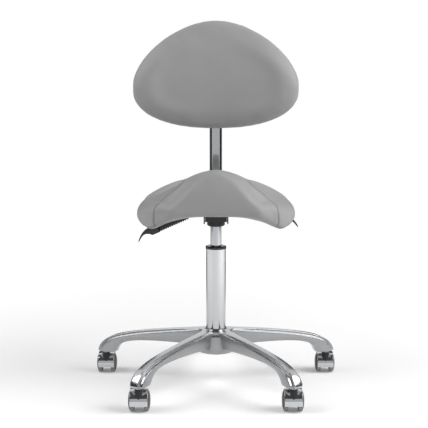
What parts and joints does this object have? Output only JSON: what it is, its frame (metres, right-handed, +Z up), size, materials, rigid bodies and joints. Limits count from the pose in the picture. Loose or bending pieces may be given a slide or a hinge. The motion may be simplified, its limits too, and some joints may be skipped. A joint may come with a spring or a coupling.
{
  "type": "saddle stool with backrest",
  "caption": "Saddle stool with a crowned pommel seat, a rounded backrest on a bent post, a gas lift with levers and a polished star base on twin-wheel casters.",
  "frame": {"origin": "on the floor, under the axis of the column", "axes": "+Z up along the column; -Y the way that the sitter faces; +X the sitter's left"},
  "size_m": [0.6384, 0.6203, 0.9351],
  "materials": {
    "polished_aluminium": "polished",
    "polished_column": "polished",
    "chrome": "mirror",
    "steel": "machined",
    "black_gloss": "gloss",
    "black_moulded": "matte",
    "black_painted": "satin",
    "rubber": "matte",
    "wheel_grey": "satin",
    "grey_leatherette": "satin"
  },
  "bodies": {
    "base": {"base_star": "polished_aluminium", "caster_stems": "steel", "stem_grip_rings": "steel", "column_tube": "polished_column", "guide_sleeve": "black_gloss", "bearing_lower_race": "steel", "bearing_ball_cage": "steel"},
    "lift_rod": {"piston_rod": "steel", "rod_clip": "steel", "piston_head": "steel", "bearing_upper_race": "steel", "bump_stop": "rubber"},
    "lift": {"gas_cylinder": "chrome", "rod_seal": "black_moulded", "mechanism_housing": "black_painted", "taper_socket": "black_painted", "tilt_axle": "steel", "tilt_bushes": "black_moulded", "back_axle": "steel", "lever_pivots": "steel"},
    "valve": {"valve_pin": "steel"},
    "height_lever": {"height_lever_rod": "black_painted", "height_lever_grip": "black_gloss"},
    "tilt_lever": {"tilt_lever_rod": "black_painted", "tilt_lever_grip": "black_gloss"},
    "seat": {"seat_plate": "black_painted", "seat_shell": "black_moulded", "seat_cushion": "grey_leatherette", "seat_bolts": "steel", "seat_inserts": "steel", "seat_lock_strap": "black_painted"},
    "back": {"back_bracket": "black_painted", "back_post": "chrome", "post_cap": "black_moulded", "back_bolts": "steel"},
    "backrest": {"backrest_carriage": "black_moulded", "backrest_board": "black_moulded", "backrest_cushion": "grey_leatherette", "backrest_screws": "steel"},
    "knob": {"clamp_knob": "black_moulded"},
    "caster_1": {"caster_hood_1": "chrome", "caster_axle_1": "steel"},
    "wheel_1_left": {"caster_wheel_1_left": "wheel_grey"},
    "wheel_1_right": {"caster_wheel_1_right": "wheel_grey"},
    "caster_2": {"caster_hood_2": "chrome", "caster_axle_2": "steel"},
    "wheel_2_left": {"caster_wheel_2_left": "wheel_grey"},
    "wheel_2_right": {"caster_wheel_2_right": "wheel_grey"},
    "caster_3": {"caster_hood_3": "chrome", "caster_axle_3": "steel"},
    "wheel_3_left": {"caster_wheel_3_left": "wheel_grey"},
    "wheel_3_right": {"caster_wheel_3_right": "wheel_grey"},
    "caster_4": {"caster_hood_4": "chrome", "caster_axle_4": "steel"},
    "wheel_4_left": {"caster_wheel_4_left": "wheel_grey"},
    "wheel_4_right": {"caster_wheel_4_right": "wheel_grey"},
    "caster_5": {"caster_hood_5": "chrome", "caster_axle_5": "steel"},
    "wheel_5_left": {"caster_wheel_5_left": "wheel_grey"},
    "wheel_5_right": {"caster_wheel_5_right": "wheel_grey"}
  },
  "joints": [
    {"name": "seat_swivel", "type": "hinge", "parent": "base", "child": "lift_rod", "pos_m": [0, 0, 0.1], "axis": [0, 0, 1], "continuous": true},
    {"name": "seat_height", "type": "slide", "parent": "lift_rod", "child": "lift", "axis": [0, 0, 1], "range_m": [-0.02, 0.175]},
    {"name": "height_lever_lift", "type": "hinge", "parent": "lift", "child": "height_lever", "pos_m": [-0.018, 0, 0.459], "axis": [0, 1, 0], "range_deg": [0, 6], "stiffness_Nm_per_rad": 3, "springref_deg": -5.73},
    {"name": "valve_press", "type": "slide", "parent": "lift", "child": "valve", "axis": [0, 0, -1], "range_m": [0, 0.002]},
    {"name": "tilt_lever_press", "type": "hinge", "parent": "lift", "child": "tilt_lever", "pos_m": [0.018, 0.07, 0.459], "axis": [0, 1, 0], "range_deg": [0, 6], "stiffness_Nm_per_rad": 3, "springref_deg": -8.59},
    {"name": "seat_tilt", "type": "hinge", "parent": "lift", "child": "seat", "pos_m": [0, -0.05, 0.445], "axis": [1, 0, 0], "range_deg": [0, 12]},
    {"name": "back_tilt", "type": "hinge", "parent": "lift", "child": "back", "pos_m": [0, 0.088, 0.448], "axis": [1, 0, 0], "range_deg": [-12, 8]},
    {"name": "backrest_height", "type": "slide", "parent": "back", "child": "backrest", "axis": [0, 0, 1], "range_m": [-0.04, 0.04]},
    {"name": "clamp_turn", "type": "hinge", "parent": "backrest", "child": "knob", "pos_m": [0, 0.24, 0.74], "axis": [0, 1, 0], "range_deg": [0, 360]},
    {"name": "caster_1_swivel", "type": "hinge", "parent": "base", "child": "caster_1", "pos_m": [0, 0.308, 0.05], "axis": [0, 0, 1], "continuous": true},
    {"name": "wheel_1_left_spin", "type": "hinge", "parent": "caster_1", "child": "wheel_1_left", "pos_m": [0, 0.326, 0.025], "axis": [1, 0, 0], "continuous": true},
    {"name": "wheel_1_right_spin", "type": "hinge", "parent": "caster_1", "child": "wheel_1_right", "pos_m": [0, 0.326, 0.025], "axis": [1, 0, 0], "continuous": true},
    {"name": "caster_2_swivel", "type": "hinge", "parent": "base", "child": "caster_2", "pos_m": [-0.29292, 0.09518, 0.05], "axis": [0, 0, 1], "continuous": true},
    {"name": "wheel_2_left_spin", "type": "hinge", "parent": "caster_2", "child": "wheel_2_left", "pos_m": [-0.29292, 0.11318, 0.025], "axis": [1, 0, 0], "continuous": true},
    {"name": "wheel_2_right_spin", "type": "hinge", "parent": "caster_2", "child": "wheel_2_right", "pos_m": [-0.29292, 0.11318, 0.025], "axis": [1, 0, 0], "continuous": true},
    {"name": "caster_3_swivel", "type": "hinge", "parent": "base", "child": "caster_3", "pos_m": [-0.18104, -0.24918, 0.05], "axis": [0, 0, 1], "continuous": true},
    {"name": "wheel_3_left_spin", "type": "hinge", "parent": "caster_3", "child": "wheel_3_left", "pos_m": [-0.18104, -0.23118, 0.025], "axis": [1, 0, 0], "continuous": true},
    {"name": "wheel_3_right_spin", "type": "hinge", "parent": "caster_3", "child": "wheel_3_right", "pos_m": [-0.18104, -0.23118, 0.025], "axis": [1, 0, 0], "continuous": true},
    {"name": "caster_4_swivel", "type": "hinge", "parent": "base", "child": "caster_4", "pos_m": [0.18104, -0.24918, 0.05], "axis": [0, 0, 1], "continuous": true},
    {"name": "wheel_4_left_spin", "type": "hinge", "parent": "caster_4", "child": "wheel_4_left", "pos_m": [0.18104, -0.23118, 0.025], "axis": [1, 0, 0], "continuous": true},
    {"name": "wheel_4_right_spin", "type": "hinge", "parent": "caster_4", "child": "wheel_4_right", "pos_m": [0.18104, -0.23118, 0.025], "axis": [1, 0, 0], "continuous": true},
    {"name": "caster_5_swivel", "type": "hinge", "parent": "base", "child": "caster_5", "pos_m": [0.29292, 0.09518, 0.05], "axis": [0, 0, 1], "continuous": true},
    {"name": "wheel_5_left_spin", "type": "hinge", "parent": "caster_5", "child": "wheel_5_left", "pos_m": [0.29292, 0.11318, 0.025], "axis": [1, 0, 0], "continuous": true},
    {"name": "wheel_5_right_spin", "type": "hinge", "parent": "caster_5", "child": "wheel_5_right", "pos_m": [0.29292, 0.11318, 0.025], "axis": [1, 0, 0], "continuous": true}
  ],
  "couplings": [
    {"joint": "valve_press", "follows": "height_lever_lift", "m_per_rad": 0.018}
  ]
}
